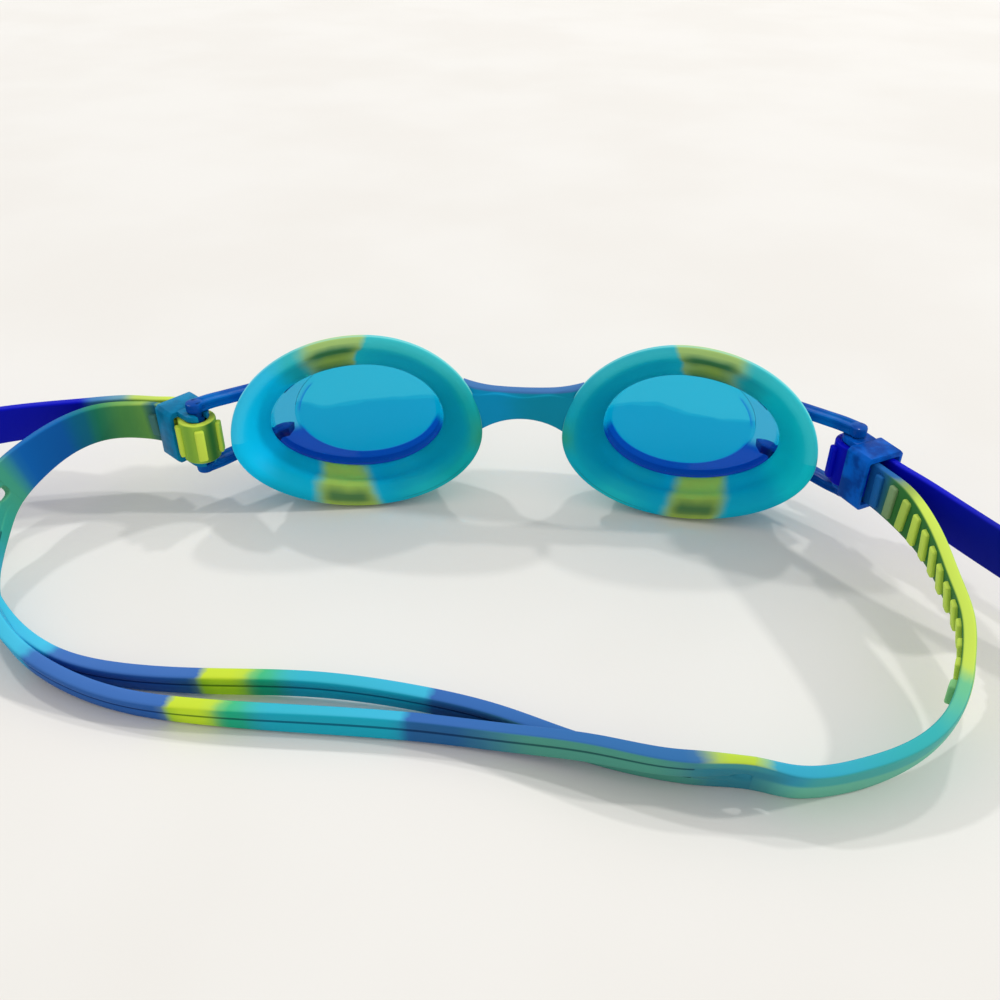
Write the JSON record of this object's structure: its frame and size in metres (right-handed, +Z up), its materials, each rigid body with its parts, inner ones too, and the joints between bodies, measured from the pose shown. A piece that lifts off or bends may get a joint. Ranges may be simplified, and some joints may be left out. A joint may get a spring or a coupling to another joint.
{
  "type": "swim goggles",
  "caption": "Child's swim goggles with tie-dye silicone eye seals, tinted lenses and a split, toothed head strap held by two swivelling buckles, laid on a table.",
  "frame": {"origin": "middle of the bounding box's footprint, at the level the goggles rest on", "axes": "+X across the goggles towards the wearer's right-hand side of the picture, post to post; +Y the way the lenses look; +Z up from the table"},
  "size_m": [0.2778, 0.1036, 0.0425],
  "materials": {
    "seal": "satin tie-dyed silicone, cyan with lime and green patches",
    "lens": "glossy blue-tinted polycarbonate with navy arms",
    "buckle": "satin translucent blue plastic",
    "strap": "satin tie-dyed silicone, navy, cyan, green and lime along its length"
  },
  "bodies": {
    "goggles": {"frame_seal": "seal", "lens_left": "lens", "lens_right": "lens", "strap": "strap"},
    "left_buckle": {"buckle_left": "buckle"},
    "right_buckle": {"buckle_right": "buckle"}
  },
  "joints": [
    {"name": "left_swivel", "type": "hinge", "parent": "goggles", "child": "left_buckle", "pos_m": [-0.04252, 0.03128, 0.01803], "axis": [0, 0, 1], "range_deg": [-20, 30], "deforming": ["strap"]},
    {"name": "right_swivel", "type": "hinge", "parent": "goggles", "child": "right_buckle", "pos_m": [0.10508, 0.03128, 0.01803], "axis": [0, 0, 1], "range_deg": [-15, 45], "deforming": ["strap"]}
  ]
}
